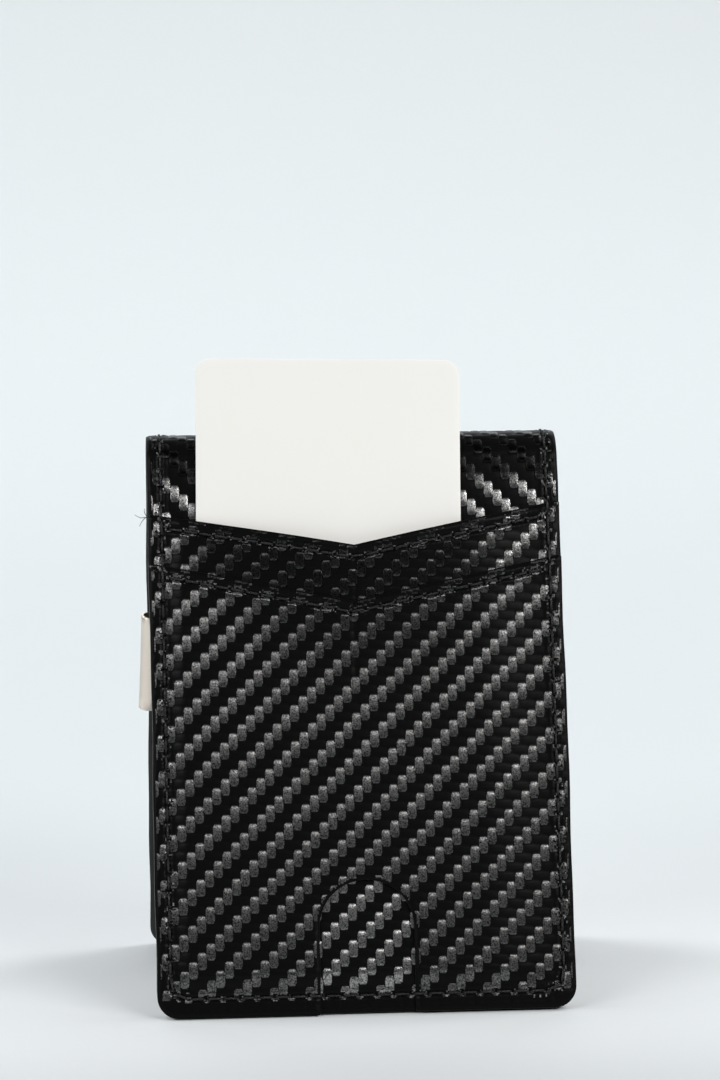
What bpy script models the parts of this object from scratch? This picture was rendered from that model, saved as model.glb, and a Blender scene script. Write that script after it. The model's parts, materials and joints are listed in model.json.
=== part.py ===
"""Bifold money-clip wallet, half open and standing on its two free edges like a tent.

Metres, +Z up. The fold runs along X at the top, the card pockets face -Y and the money clip is inside.
Three stiff segments hang in a chain from two creases: front half, spine and rear half.
Each segment is laid out in its own frame: X across, Y inward from the cover's outer face, Z along it.
"""

import math

import bmesh
import bpy
from mathutils import Vector

MM = 0.001

# Overall form
PANEL_WIDTH = 84.0 * MM  # along the fold
PANEL_LENGTH = 117.2 * MM  # from a half's crease to its free edge
CORNER_RADIUS = 4.4 * MM  # at the free edges
LEAN = math.radians(14.5)  # of each half from upright
SPINE_WIDTH = 10.4 * MM  # between the two creases
CREASE_TURN = math.pi / 2 - LEAN  # half of the fold's turn
CLOSED_TURN = math.pi / 2  # each crease's turn with the wallet shut
CREASE_GAP = 0.15 * MM  # from a crease's axis to the ply's edge
CENTRE_X = 1.03 * MM  # puts the whole box's middle over the origin
CENTRE_Y = 0.87 * MM

# Plies, as (depth of the near face, thickness) from the cover's outer face inward
SHELL = (0.0, 0.90 * MM)
BOARD = (0.98 * MM, 0.40 * MM)
FOIL = (1.46 * MM, 0.10 * MM)
LINING = (1.64 * MM, 0.46 * MM)
INNER_UPPER = (2.18 * MM, 0.42 * MM)
INNER_LOWER = (2.68 * MM, 0.42 * MM)
SPINE_LINING = (0.98 * MM, 0.42 * MM)
INNER_START = 5.1 * MM  # the inner plies start this far below the crease
INNER_TRIM = 0.8 * MM  # and stop this far short of the free edge
BOARD_MARGIN = 3.2 * MM  # the board and foil stop inside the seam
INNER_UPPER_START = 34.7 * MM
INNER_LOWER_START = 52.7 * MM
REAR_POCKET_START = 68.7 * MM

# Card pockets on the front. An opening edge is its height above the free edge at the left side,
# its notch's place across and height, and its height at the right side
POCKET_THICKNESS = 0.80 * MM
POCKET_GAP = 0.10 * MM
POCKET_RISE = 0.95 * MM  # room for a card under the pockets
RISE_INNER = 34.8 * MM  # full rise inside this half width
RISE_OUTER = 38.2 * MM  # pressed flat outside this one
RISE_FOOT = (4.4 * MM, 8.4 * MM)  # the rise fades between these heights
STRAIGHT_FROM = 30.0 * MM  # above this height a pocket's section no longer changes
UPPER_EDGE = (101.4 * MM, -0.5 * MM, 94.0 * MM, 103.0 * MM)
LOWER_EDGE = (91.2 * MM, -1.0 * MM, 82.6 * MM, 91.7 * MM)
ARCH_X = 0.1 * MM
ARCH_RADIUS = 9.5 * MM
ARCH_SPRING = 16.9 * MM

# Card
CARD_WIDTH = 53.98 * MM
CARD_LENGTH = 85.6 * MM
CARD_THICKNESS = 0.76 * MM
CARD_CORNER = 3.18 * MM
CARD_DEPTH = -0.90 * MM
CARD_CENTRE = (-5.5 * MM, 90.0 * MM)  # across, and above the free edge
CARD_TILT = math.radians(1.1)

# Seams
THREAD_RADIUS = 0.18 * MM
THREAD_LIFT = 0.24 * MM  # thread's centre above the ply it lies on
SEAM_LEFT = -39.3 * MM
SEAM_RIGHT = 39.5 * MM
SEAM_FOOT = 3.6 * MM
SEAM_CORNER = 3.0 * MM
EDGE_SEAM_DROP = 2.4 * MM  # below a pocket's opening edge
EDGE_SEAM_HALF = 38.0 * MM
GROOVE_RADIUS = 0.45 * MM  # sinks the rear cover's seam below its face
GROOVE_DEPTH = 0.10 * MM  # to the groove's centre line
SUNK_DEPTH = 0.25 * MM  # to the sunk thread's centre line

# Money clip, a sprung steel band bent double round the left edge
CLIP_WIDTH = 21.0 * MM
CLIP_THICKNESS = 0.60 * MM
CLIP_BEND_RADIUS = 1.70 * MM
CLIP_BEND = (-41.7 * MM, 4.25 * MM, 49.2 * MM)  # across, deep, below the crease
CLIP_TILT = math.radians(2.0)
CLIP_BASE_LENGTH = 30.0 * MM
CLIP_BEND_GAP = math.radians(5.0)  # each side of the bend's outermost line
CLIP_ARM = ((44.0 * MM, -0.9 * MM), (49.0 * MM, -1.3 * MM), (53.5 * MM, -0.7 * MM))
KEEPER_ACROSS = (-35.0 * MM, -6.0 * MM)
KEEPER_HALF = 16.0 * MM
KEEPER_RISE = 0.75 * MM
KEEPER_FLAT = 2.8 * MM  # width of its stitched margin
KEEPER_RAMP = 1.6 * MM
KEEPER_THICKNESS = 0.50 * MM

FRONT, REAR = -1, 1  # which way along Z a half runs from its crease


def clear_scene():
    for found in list(bpy.data.objects):
        bpy.data.objects.remove(found)


def new_collection(name):
    made = bpy.data.collections.new(name)
    bpy.context.scene.collection.children.link(made)
    return made


def new_material(name, colour, roughness, metallic=0.0):
    made = bpy.data.materials.new(name)
    made.use_nodes = True
    shader = made.node_tree.nodes["Principled BSDF"]
    shader.inputs["Base Color"].default_value = (*colour, 1.0)
    shader.inputs["Roughness"].default_value = roughness
    shader.inputs["Metallic"].default_value = metallic
    return made


FINISHES = {
    "leather": ((0.018, 0.018, 0.020), 0.42, 0.0),
    "lining": ((0.022, 0.021, 0.021), 0.60, 0.0),
    "board": ((0.20, 0.17, 0.13), 0.85, 0.0),
    "foil": ((0.75, 0.75, 0.76), 0.30, 1.0),
    "thread": ((0.012, 0.012, 0.013), 0.70, 0.0),
    "steel": ((0.62, 0.59, 0.55), 0.32, 1.0),
    "card": ((0.90, 0.89, 0.86), 0.45, 0.0),
}


def finish_node(node, parent, slot):
    """Puts a sub-part in the wallet's collection, under its parent, with a material of its own."""
    parts.objects.link(node)
    node.parent = parent
    node.data.materials.append(new_material(node.name, *FINISHES[slot]))
    return node


def new_pivot(name, parent, location, rotation):
    pivot = bpy.data.objects.new(name, None)
    parts.objects.link(pivot)
    pivot.parent = parent
    pivot.location = location
    pivot.rotation_euler = rotation
    pivot.empty_display_size = 0.01
    return pivot


def arc(centre, radius, start, end, steps):
    """Points on an arc, angles in radians."""
    turns = [start + (end - start) * step / steps for step in range(steps + 1)]
    return [(centre[0] + radius * math.cos(t), centre[1] + radius * math.sin(t)) for t in turns]


def half_outline(half_width, start, end, radius, side):
    """A half's ply from start to end below the crease, rounded at the free edge."""
    inset = half_width - radius
    quarter = math.pi / 2
    right = arc((inset, end - radius), radius, 0.0, quarter, 5)
    left = arc((-inset, end - radius), radius, quarter, 2 * quarter, 5)
    outline = [(-half_width, start), (half_width, start), *right, *left]
    return [(across, side * down) for across, down in outline]


def welded_mesh(curve):
    """A curve's shape as one closed mesh."""
    holder = bpy.data.objects.new(curve.name + "_curve", curve)
    bpy.context.scene.collection.objects.link(holder)
    evaluated = holder.evaluated_get(bpy.context.evaluated_depsgraph_get())
    mesh = bpy.data.meshes.new_from_object(evaluated)
    bpy.data.objects.remove(holder)
    shape = bmesh.new()
    shape.from_mesh(mesh)
    bmesh.ops.remove_doubles(shape, verts=shape.verts, dist=0.001 * MM)
    shape.to_mesh(mesh)
    shape.free()
    mesh.name = curve.name
    return mesh


def outline_mesh(name, outline, thickness):
    """A flat plate: a filled 2D curve extruded both ways, turned into a welded mesh."""
    curve = bpy.data.curves.new(name, "CURVE")
    curve.dimensions = "2D"
    curve.fill_mode = "BOTH"
    curve.extrude = thickness / 2
    spline = curve.splines.new("POLY")
    spline.points.add(len(outline) - 1)
    for point, (across, along) in zip(spline.points, outline):
        point.co = (across, along, 0.0, 1.0)
    spline.use_cyclic_u = True
    return welded_mesh(curve)


def plate(name, parent, slot, outline, ply, mitred=()):
    """A flat ply. mitred lists (edge, direction): the edge's Z, and the way its inner side is cut back."""
    depth, thickness = ply
    mesh = outline_mesh(name, outline, thickness)
    middle = depth + thickness / 2
    slope = math.tan(CLOSED_TURN / 2)
    for vertex in mesh.vertices:
        for edge, direction in mitred:
            if abs(vertex.co.y - edge) < 0.01 * MM:
                vertex.co.y += direction * slope * (middle - vertex.co.z)
                break
    node = bpy.data.objects.new(name, mesh)
    node.rotation_euler = (math.pi / 2, 0.0, 0.0)
    node.location = (0.0, middle, 0.0)
    return finish_node(node, parent, slot)


def sheet(name, parent, slot, rows, thickness):
    """A shaped ply: rows of points on its near face, thickened along -Y or +Y by the thickness's sign."""
    shape = bmesh.new()
    grid = [[shape.verts.new(point) for point in row] for row in rows]
    for upper, lower in zip(grid, grid[1:]):
        for index in range(len(upper) - 1):
            shape.faces.new((upper[index], lower[index], lower[index + 1], upper[index + 1]))
    mesh = bpy.data.meshes.new(name)
    shape.to_mesh(mesh)
    shape.free()
    node = bpy.data.objects.new(name, mesh)
    solid = node.modifiers.new("thickness", "SOLIDIFY")
    solid.thickness = abs(thickness)
    solid.offset = math.copysign(1.0, -thickness)
    solid.use_even_offset = True
    return finish_node(node, parent, slot)


def round_run(name, points, radius):
    """A tube along (across, depth, z) points."""
    curve = bpy.data.curves.new(name, "CURVE")
    curve.dimensions = "3D"
    curve.bevel_depth = radius
    curve.bevel_resolution = 1
    curve.use_fill_caps = True
    spline = curve.splines.new("POLY")
    spline.points.add(len(points) - 1)
    for point, place in zip(spline.points, points):
        point.co = (*place, 1.0)
    return curve


def thread(name, parent, points):
    """One run of thread."""
    curve = round_run(name, points, THREAD_RADIUS)
    return finish_node(bpy.data.objects.new(name, curve), parent, "thread")


def edge_height(edge, across):
    """Height above the free edge of a pocket's V-shaped opening edge."""
    left, notch_x, notch, right = edge
    half = PANEL_WIDTH / 2
    if across < notch_x:
        return notch + (left - notch) * (notch_x - across) / (half + notch_x)
    return notch + (right - notch) * (across - notch_x) / (half - notch_x)


def foot_height(across):
    """Height of the rounded lower outline above the free edge."""
    past = abs(across) - (PANEL_WIDTH / 2 - CORNER_RADIUS)
    if past <= 0:
        return 0.0
    return CORNER_RADIUS - math.sqrt(max(CORNER_RADIUS**2 - past**2, 0.0))


def fade(value, low, high):
    return min(max((value - low) / (high - low), 0.0), 1.0)


def pocket_rise(across, height):
    """How far the pockets stand off the cover to leave room for a card."""
    sides = 1.0 - fade(abs(across), RISE_INNER, RISE_OUTER)
    return POCKET_RISE * sides * fade(height, *RISE_FOOT)


def pocket_columns(notch_x):
    """Positions across a pocket: its corner arcs, the edges of its rise and its notch."""
    inset = PANEL_WIDTH / 2 - CORNER_RADIUS
    corner = [inset + CORNER_RADIUS * math.sin(math.pi / 2 * step / 4) for step in range(5)]
    right = sorted({*corner, RISE_INNER, RISE_OUTER, RISE_INNER / 2})
    return [-across for across in reversed(right)] + [notch_x] + right


def pocket(name, edge, near_face):
    """A card pocket over the front cover, pressed flat at its stitched rim."""
    rows = []
    columns = pocket_columns(edge[1])
    low_steps = (0.0, 0.11, 0.2, 0.28, 0.5, 1.0)
    for step in low_steps:
        row = []
        for across in columns:
            foot = foot_height(across)
            row.append((across, foot + (STRAIGHT_FROM - foot) * step))
        rows.append(row)
    for step in (0.5, 1.0):
        row = []
        for across in columns:
            row.append((across, STRAIGHT_FROM + (edge_height(edge, across) - STRAIGHT_FROM) * step))
        rows.append(row)
    placed = [[(a, -near_face - pocket_rise(a, h), h - PANEL_LENGTH) for a, h in row] for row in rows]
    return sheet(name, front_half, "leather", placed, POCKET_THICKNESS)


def cut_away(ply, cutter, parent):
    """Takes the cutter's shape out of a ply."""
    cutters.objects.link(cutter)
    cutter.parent = parent
    cutter.hide_render = True
    cutter.display_type = "WIRE"
    cut = ply.modifiers.new(cutter.name, "BOOLEAN")
    cut.operation = "DIFFERENCE"
    cut.solver = "EXACT"
    cut.object = cutter


def cut_arch(ply):
    """Cuts the thumb arch out of the lower pocket's foot."""
    crown = arc((ARCH_X, ARCH_SPRING), ARCH_RADIUS, 0.0, math.pi, 16)
    below = -2.0 * MM
    outline = [(ARCH_X - ARCH_RADIUS, below), (ARCH_X + ARCH_RADIUS, below), *crown]
    cutter = bpy.data.objects.new("arch_cutter", outline_mesh("arch_cutter", outline, 8 * MM))
    cutter.rotation_euler = (math.pi / 2, 0.0, 0.0)
    cutter.location = (0.0, -2.0 * MM, -PANEL_LENGTH)
    cut_away(ply, cutter, front_half)


def along(height, side):
    """Z in a half's frame of a height above its free edge."""
    return side * (PANEL_LENGTH - height)


def foot_run(depth, side, dips=()):
    """The seam's run round the free edge, from the left side to the right. dips are points in between."""
    quarter = math.pi / 2
    corner = SEAM_FOOT + SEAM_CORNER
    left = arc((SEAM_LEFT + SEAM_CORNER, corner), SEAM_CORNER, 2 * quarter, 3 * quarter, 3)
    right = arc((SEAM_RIGHT - SEAM_CORNER, corner), SEAM_CORNER, 3 * quarter, 4 * quarter, 3)
    points = [(across, depth, along(height, side)) for across, height in left]
    points += [(across, low, along(SEAM_FOOT, side)) for across, low in dips]
    return points + [(across, depth, along(height, side)) for across, height in right]


def side_run(across, levels, side):
    """The seam's run down one side. levels are (height where it starts, depth), from the top down."""
    clear = THREAD_RADIUS + 0.25 * MM
    points = []
    for (start, depth), following in zip(levels, [*levels[1:], None]):
        points.append((across, depth, along(start, side)))
        if following:
            points.append((across, depth, along(following[0] + clear, side)))
    return points


def build_front_half():
    outline = half_outline(PANEL_WIDTH / 2, CREASE_GAP, PANEL_LENGTH, CORNER_RADIUS, FRONT)
    plate("front_shell", front_half, "leather", outline, SHELL, [(-CREASE_GAP, -1)])
    pocket("upper_pocket", UPPER_EDGE, POCKET_GAP)
    lower = pocket("lower_pocket", LOWER_EDGE, 2 * POCKET_GAP + POCKET_THICKNESS)
    cut_arch(lower)
    build_inner_plies("front", front_half, FRONT)
    tiers = (("upper", INNER_UPPER_START, INNER_UPPER), ("lower", INNER_LOWER_START, INNER_LOWER))
    for tier, start, ply in tiers:
        inner_pocket("front_inner_pocket_" + tier, front_half, start, ply, FRONT)


def build_rear_half():
    outline = half_outline(PANEL_WIDTH / 2, CREASE_GAP, PANEL_LENGTH, CORNER_RADIUS, REAR)
    shell = plate("rear_shell", rear_half, "leather", outline, SHELL, [(CREASE_GAP, 1)])
    cut_seam_groove(shell)
    build_inner_plies("rear", rear_half, REAR)
    inner_pocket("rear_inner_pocket", rear_half, REAR_POCKET_START, INNER_UPPER, REAR)


def build_inner_plies(which, parent, side):
    """The board and foil sealed inside a half, and the lining that covers them."""
    end = PANEL_LENGTH - BOARD_MARGIN
    half = PANEL_WIDTH / 2
    sealed = half_outline(half - BOARD_MARGIN, INNER_START, end, CORNER_RADIUS, side)
    plate(which + "_board", parent, "board", sealed, BOARD)
    plate(which + "_rfid_foil", parent, "foil", sealed, FOIL)
    facing = half_outline(half, INNER_START, PANEL_LENGTH - INNER_TRIM, CORNER_RADIUS, side)
    plate(which + "_lining", parent, "lining", facing, LINING)


def inner_pocket(name, parent, start, ply, side):
    """An inside pocket that opens towards the spine, with a row of stitches along its opening."""
    outline = half_outline(PANEL_WIDTH / 2, start, PANEL_LENGTH - INNER_TRIM, CORNER_RADIUS, side)
    plate(name, parent, "lining", outline, ply)
    depth = sum(ply) + THREAD_LIFT
    seam_z = side * (start + EDGE_SEAM_DROP)
    ends = [(-EDGE_SEAM_HALF, depth, seam_z), (EDGE_SEAM_HALF, depth, seam_z)]
    thread(name + "_thread", parent, ends)


def build_spine():
    """The cover and its lining over the fold."""
    half = PANEL_WIDTH / 2
    low, high = CREASE_GAP, SPINE_WIDTH - CREASE_GAP
    outline = [(-half, low), (half, low), (half, high), (-half, high)]
    mitres = [(low, 1), (high, -1)]
    plate("spine_shell", spine, "leather", outline, SHELL, mitres)
    plate("spine_lining", spine, "lining", outline, SPINE_LINING, mitres)


def build_card():
    half_width, half_length = CARD_WIDTH / 2, CARD_LENGTH / 2
    quarter = math.pi / 2
    x, z = half_width - CARD_CORNER, half_length - CARD_CORNER
    outline = []
    for index, centre in enumerate(((x, z), (-x, z), (-x, -z), (x, -z))):
        outline += arc(centre, CARD_CORNER, index * quarter, (index + 1) * quarter, 5)
    plate("blank_card", card_slide, "card", outline, (CARD_DEPTH, CARD_THICKNESS))


def build_front_seams():
    """The outer face's seam steps up over each pocket's edge and down into the thumb arch."""
    ply = POCKET_GAP + POCKET_THICKNESS
    on_shell, on_upper, on_lower = (-THREAD_LIFT - count * ply for count in range(3))
    top = PANEL_LENGTH - 1.5 * MM
    sides = []
    for across in (SEAM_LEFT, SEAM_RIGHT):
        upper = edge_height(UPPER_EDGE, across) + 2 * THREAD_RADIUS
        lower = edge_height(LOWER_EDGE, across) + 2 * THREAD_RADIUS
        sides.append(side_run(across, [(top, on_shell), (upper, on_upper), (lower, on_lower)], FRONT))
    wall = ARCH_RADIUS - 0.45 * MM
    floor = wall - 0.6 * MM
    dips = [(-wall, on_lower), (-floor, on_upper), (floor, on_upper), (wall, on_lower)]
    dips = [(ARCH_X + across, depth) for across, depth in dips]
    run = [*sides[0], *foot_run(on_lower, FRONT, dips), *reversed(sides[1])]
    thread("front_seam_thread", front_half, run)
    for name, edge, face in (("upper", UPPER_EDGE, ply), ("lower", LOWER_EDGE, 2 * ply)):
        points = []
        for across in (-EDGE_SEAM_HALF, -RISE_INNER, edge[1], RISE_INNER, EDGE_SEAM_HALF):
            height = edge_height(edge, across) - EDGE_SEAM_DROP
            depth = -face - pocket_rise(across, height) - THREAD_LIFT
            points.append((across, depth, along(height, FRONT)))
        thread(name + "_edge_thread", front_half, points)


def build_inside_seams():
    """The bobbin threads on the linings, and the rear cover's seam."""
    on_lining, on_upper, on_lower = (sum(ply) + THREAD_LIFT for ply in (LINING, INNER_UPPER, INNER_LOWER))
    top = PANEL_LENGTH - INNER_START - 1.0 * MM
    clear = 2 * THREAD_RADIUS
    first = PANEL_LENGTH - INNER_UPPER_START + clear
    second = PANEL_LENGTH - INNER_LOWER_START + clear
    levels = [(top, on_lining), (first, on_upper), (second, on_lower)]
    left, right = (side_run(across, levels, FRONT) for across in (SEAM_LEFT, SEAM_RIGHT))
    thread("front_bobbin_thread", front_half, [*left, *foot_run(on_lower, FRONT), *reversed(right)])

    pocket_top = PANEL_LENGTH - REAR_POCKET_START + clear
    below_clip = PANEL_LENGTH - CLIP_BEND[2] - CLIP_WIDTH / 2 - 1.5 * MM
    left = side_run(SEAM_LEFT, [(below_clip, on_lining), (pocket_top, on_upper)], REAR)
    right = side_run(SEAM_RIGHT, [(top, on_lining), (pocket_top, on_upper)], REAR)
    thread("rear_bobbin_thread", rear_half, [*left, *foot_run(on_upper, REAR), *reversed(right)])
    thread("rear_seam_thread", rear_half, rear_seam_run(SUNK_DEPTH, 2.0 * MM))


def rear_seam_run(depth, top):
    """The rear cover's seam, down one side, round the free edge and up the other."""
    levels = [(PANEL_LENGTH - top, depth)]
    left, right = (side_run(across, levels, REAR) for across in (SEAM_LEFT, SEAM_RIGHT))
    return [*left, *foot_run(depth, REAR), *reversed(right)]


def cut_seam_groove(shell):
    """The groove that sinks the rear seam's thread below the cover's face."""
    curve = round_run("seam_cutter", rear_seam_run(GROOVE_DEPTH, 1.5 * MM), GROOVE_RADIUS)
    cut_away(shell, bpy.data.objects.new("seam_cutter", welded_mesh(curve)), rear_half)


def band(name, parent, path):
    """A strip of the clip's steel, from its centre line in the clip's own X and Y."""
    half = CLIP_WIDTH / 2
    shape = bmesh.new()
    low = [shape.verts.new((x, y, -half)) for x, y in path]
    high = [shape.verts.new((x, y, half)) for x, y in path]
    for index in range(len(path) - 1):
        shape.faces.new((low[index], low[index + 1], high[index + 1], high[index]))
    mesh = bpy.data.meshes.new(name)
    shape.to_mesh(mesh)
    shape.free()
    node = bpy.data.objects.new(name, mesh)
    solid = node.modifiers.new("thickness", "SOLIDIFY")
    solid.thickness = CLIP_THICKNESS
    solid.offset = 0.0
    solid.use_even_offset = True
    return finish_node(node, parent, "steel")


def build_clip():
    """The clip's fixed leg, its sprung leg and the leather keeper that holds it."""
    quarter = math.pi / 2
    bend = arc((0.0, 0.0), CLIP_BEND_RADIUS, 3 * quarter, 2 * quarter + CLIP_BEND_GAP, 6)
    band("clip_base", clip_bend, [(CLIP_BASE_LENGTH, -CLIP_BEND_RADIUS), *bend])
    bend = arc((0.0, 0.0), CLIP_BEND_RADIUS, 2 * quarter - CLIP_BEND_GAP, quarter, 6)
    band("clip_arm", clip_bend, [*bend, *CLIP_ARM])


def build_keeper():
    """A stitched patch over the clip's fixed leg, open towards the bend."""
    near, far = KEEPER_ACROSS
    margin, ramp = KEEPER_FLAT, KEEPER_RAMP
    columns = [near, near + 8 * MM, far - margin - ramp, far - margin, far]
    steps = [KEEPER_HALF, KEEPER_HALF - margin, KEEPER_HALF - margin - ramp]
    lines = [-step for step in steps] + list(reversed(steps))
    base = sum(LINING) + 0.1 * MM
    rows = []
    for line in lines:
        row = []
        for across in columns:
            rise = fade(KEEPER_HALF - abs(line), margin, margin + ramp)
            rise *= fade(far - across, margin, margin + ramp)
            row.append((across, base + KEEPER_RISE * rise, CLIP_BEND[2] + line))
        rows.append(row)
    sheet("clip_keeper", rear_half, "lining", rows, -KEEPER_THICKNESS)
    depth = base + KEEPER_THICKNESS + THREAD_LIFT
    seam = KEEPER_HALF - margin / 2
    low, high = CLIP_BEND[2] - seam, CLIP_BEND[2] + seam
    end = far - margin / 2
    start = near + 1.0 * MM
    corners = [(start, depth, low), (end, depth, low), (end, depth, high), (start, depth, high)]
    thread("clip_keeper_thread", rear_half, corners)


clear_scene()
parts = new_collection("wallet")
cutters = new_collection("cutters")

crease_z = PANEL_LENGTH * math.cos(LEAN) + sum(SHELL) * math.sin(LEAN)
front_crease = (CENTRE_X, CENTRE_Y - SPINE_WIDTH / 2, crease_z)
front_half = new_pivot("front_half", None, front_crease, (-LEAN, 0, 0))
spine = new_pivot("spine", front_half, (0, 0, 0), (-CREASE_TURN, 0, 0))
rear_half = new_pivot("rear_half", spine, (0, 0, SPINE_WIDTH), (-CREASE_TURN, 0, 0))
card_place = (CARD_CENTRE[0], 0, CARD_CENTRE[1] - PANEL_LENGTH)
card_slide = new_pivot("card_slide", front_half, card_place, (0, CARD_TILT, 0))
clip_bend = new_pivot("clip_bend", rear_half, CLIP_BEND, (0, -CLIP_TILT, 0))

build_front_half()
build_rear_half()
build_spine()
build_card()
build_front_seams()
build_inside_seams()
build_clip()
build_keeper()
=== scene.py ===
"""The looks of a bifold money-clip wallet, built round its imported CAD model.

Lengths are in millimetres and become the frame's metres when a mesh is made. Each ply is laid out flat:
u runs across it, and s runs up it from its half's free edge, along the cover and on round the fold.
"""

import json
from math import asin, ceil, cos, floor, pi, radians, sin, tan

import bpy
import numpy as np
from mathutils import Matrix, Vector, geometry


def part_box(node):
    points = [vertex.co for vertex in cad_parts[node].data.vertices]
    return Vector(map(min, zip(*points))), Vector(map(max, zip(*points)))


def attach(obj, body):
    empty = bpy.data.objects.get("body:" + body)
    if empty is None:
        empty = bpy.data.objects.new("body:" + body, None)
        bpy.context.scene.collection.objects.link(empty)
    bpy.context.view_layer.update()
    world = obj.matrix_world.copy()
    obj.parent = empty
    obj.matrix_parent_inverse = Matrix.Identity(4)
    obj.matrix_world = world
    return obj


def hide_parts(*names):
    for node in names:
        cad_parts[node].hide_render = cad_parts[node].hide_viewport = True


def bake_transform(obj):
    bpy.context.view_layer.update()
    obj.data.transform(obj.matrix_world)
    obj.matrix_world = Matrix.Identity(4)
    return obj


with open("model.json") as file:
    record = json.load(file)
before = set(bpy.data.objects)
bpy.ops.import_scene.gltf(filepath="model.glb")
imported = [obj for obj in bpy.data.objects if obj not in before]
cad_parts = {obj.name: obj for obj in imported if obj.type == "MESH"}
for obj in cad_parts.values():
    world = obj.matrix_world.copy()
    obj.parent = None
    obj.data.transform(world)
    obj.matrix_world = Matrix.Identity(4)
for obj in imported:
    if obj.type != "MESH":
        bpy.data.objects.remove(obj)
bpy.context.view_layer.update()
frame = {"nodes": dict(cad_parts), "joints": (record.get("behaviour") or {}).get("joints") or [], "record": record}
SCENE = bpy.context.scene

MM = 0.001
JOINTS = {joint["name"]: joint for joint in frame["joints"]}
FRONT, REAR = -1, 1

# The cover, worked out from the frame
CREASE = np.array(JOINTS["front_crease"]["pos_m"]) / MM
REAR_CREASE = np.array(JOINTS["rear_crease"]["pos_m"]) / MM
LEAN = asin(frame["record"]["mounts"][0]["axis"][2])
SHELL_BOX = [np.array(corner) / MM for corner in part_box("front_shell")]
HALF_WIDTH = (SHELL_BOX[1][0] - SHELL_BOX[0][0]) / 2
SPINE_WIDTH = REAR_CREASE[1] - CREASE[1]
MIDDLE_Y = (REAR_CREASE[1] + CREASE[1]) / 2
SHELL_THICKNESS = 0.90
PANEL_LENGTH = (CREASE[2] - SHELL_THICKNESS * sin(LEAN)) / cos(LEAN)
FOLD_RADIUS = SPINE_WIDTH / 2 / tan((pi / 2 - LEAN) / 2)
FOLD_Z = CREASE[2] - FOLD_RADIUS
TANGENT = PANEL_LENGTH - SPINE_WIDTH / 2  # where the cover leaves the flat and goes round the fold
FOLD_TOP = TANGENT + FOLD_RADIUS * (pi / 2 - LEAN)
CORNER_RADIUS = 4.4

# Plies, as (depth of the near face, thickness)
LINING = (1.64, 0.46)
SPINE_LINING_DEPTH = 0.98
INNER_UPPER = (2.18, 0.42)
INNER_LOWER = (2.68, 0.42)
INNER_TRIM = 0.8
INNER_UPPER_TOP = PANEL_LENGTH - 34.7
INNER_LOWER_TOP = PANEL_LENGTH - 52.7
REAR_POCKET_TOP = PANEL_LENGTH - 68.7
POCKET_THICKNESS = 0.80
POCKET_GAP = 0.10

# Front pockets: heights at the left, the notch (place, height) and the right
UPPER_EDGE = (101.4, -0.5, 94.0, 103.0)
LOWER_EDGE = (91.2, -1.0, 82.6, 91.7)
ARCH_X = 0.1
ARCH_RADIUS = 9.5
ARCH_SPRING = 16.9
LEFT_LEG_DROP = 0.35
POCKET_RISE = 0.86
RISE_LEFT = (-38.8, -35.0)
RISE_RIGHT = (38.8, 24.0)
RISE_FOOT = (3.9, 8.6)
FLARE = 2.5
FLARE_LENGTH = 26.0

# Weave pressed into the cover's leather
CELL_U = 1.78
CELL_S = 1.82
WEAVE_DEPTH = 0.15
UPRIGHT, TORN_GLINT = 1, 2  # places among a woven ply's materials
POCKET_SLANT = 1
COVER_SLANT = -1

# Seams
STITCH = 3.4
EDGE_STITCH = 3.1
KEEPER_STITCH = 3.0
THREAD_RADIUS = 0.25
THREAD_SINK = 0.28  # how far below the leather a stitch's ends lie
THREAD_ARCH = 0.33  # and how far its middle rises from there
SEAM_LEFT = -39.3
SEAM_RIGHT = 39.5
SEAM_FOOT = 3.5
SEAM_CORNER = 3.0
EDGE_SEAM_HALF = 38.0
UPPER_SEAM_DROP = 2.55
LOWER_SEAM_DROP = 2.3
INNER_SEAM_DROP = 2.4

# Clip and keeper
CLIP_RADIUS = 1.70
CLIP_THICKNESS = 0.60
CLIP_WIDTH = 21.0
CLIP_BASE = 30.0
CLIP_ARM = ((44.0, -0.9), (49.0, -1.3), (53.5, -0.7))
CLIP_S = PANEL_LENGTH - 49.2
KEEPER = (-35.0, -6.0, 16.0)
KEEPER_RISE = 0.75
KEEPER_MARGIN = 2.8
KEEPER_RAMP = 1.6
KEEPER_THICKNESS = 0.50

# Card
CARD_SIZE = (53.98, 85.6, 0.76)
CARD_CORNER = 3.18
CARD_CENTRE = (-5.5, 90.0)
CARD_TILT = radians(1.1)
CARD_BACK = -0.14


# ---- Places

def panel_point(side, u, v, depth):
    """A point of a half's straight plane, which runs on past the fold."""
    out, up = cos(LEAN), sin(LEAN)
    reach = FOLD_RADIUS - depth
    below = TANGENT - v
    y = MIDDLE_Y + side * (reach * out + below * up)
    z = FOLD_Z + reach * up - below * out
    return np.stack(np.broadcast_arrays(CREASE[0] + u, y, z), -1)


def cover_point(side, u, s, depth):
    """A point of the cover, which goes round the fold above TANGENT."""
    reach = FOLD_RADIUS - depth
    turn = LEAN + np.clip((s - TANGENT) / FOLD_RADIUS, 0, None)
    below = np.clip(TANGENT - s, 0, None)
    y = MIDDLE_Y + side * (reach * np.cos(turn) + below * sin(LEAN))
    z = FOLD_Z + reach * np.sin(turn) - below * cos(LEAN)
    return np.stack(np.broadcast_arrays(CREASE[0] + u, y, z), -1)


def outside(side, near):
    """Places heights above a plane near mm inside the cover's outer face, growing outward."""
    return lambda u, s, height: cover_point(side, u, s, near - height)


def inside(side, near):
    return lambda u, s, height: cover_point(side, u, s, near + height)


# ---- Flat shapes

def smooth(value, low, high):
    t = np.clip((value - low) / (high - low), 0, 1)
    return t * t * (3 - 2 * t)


def arc(centre, radius, start, end, steps):
    turns = np.radians(np.linspace(start, end, steps + 1))
    return [(centre[0] + radius * cos(t), centre[1] + radius * sin(t)) for t in turns]


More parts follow.
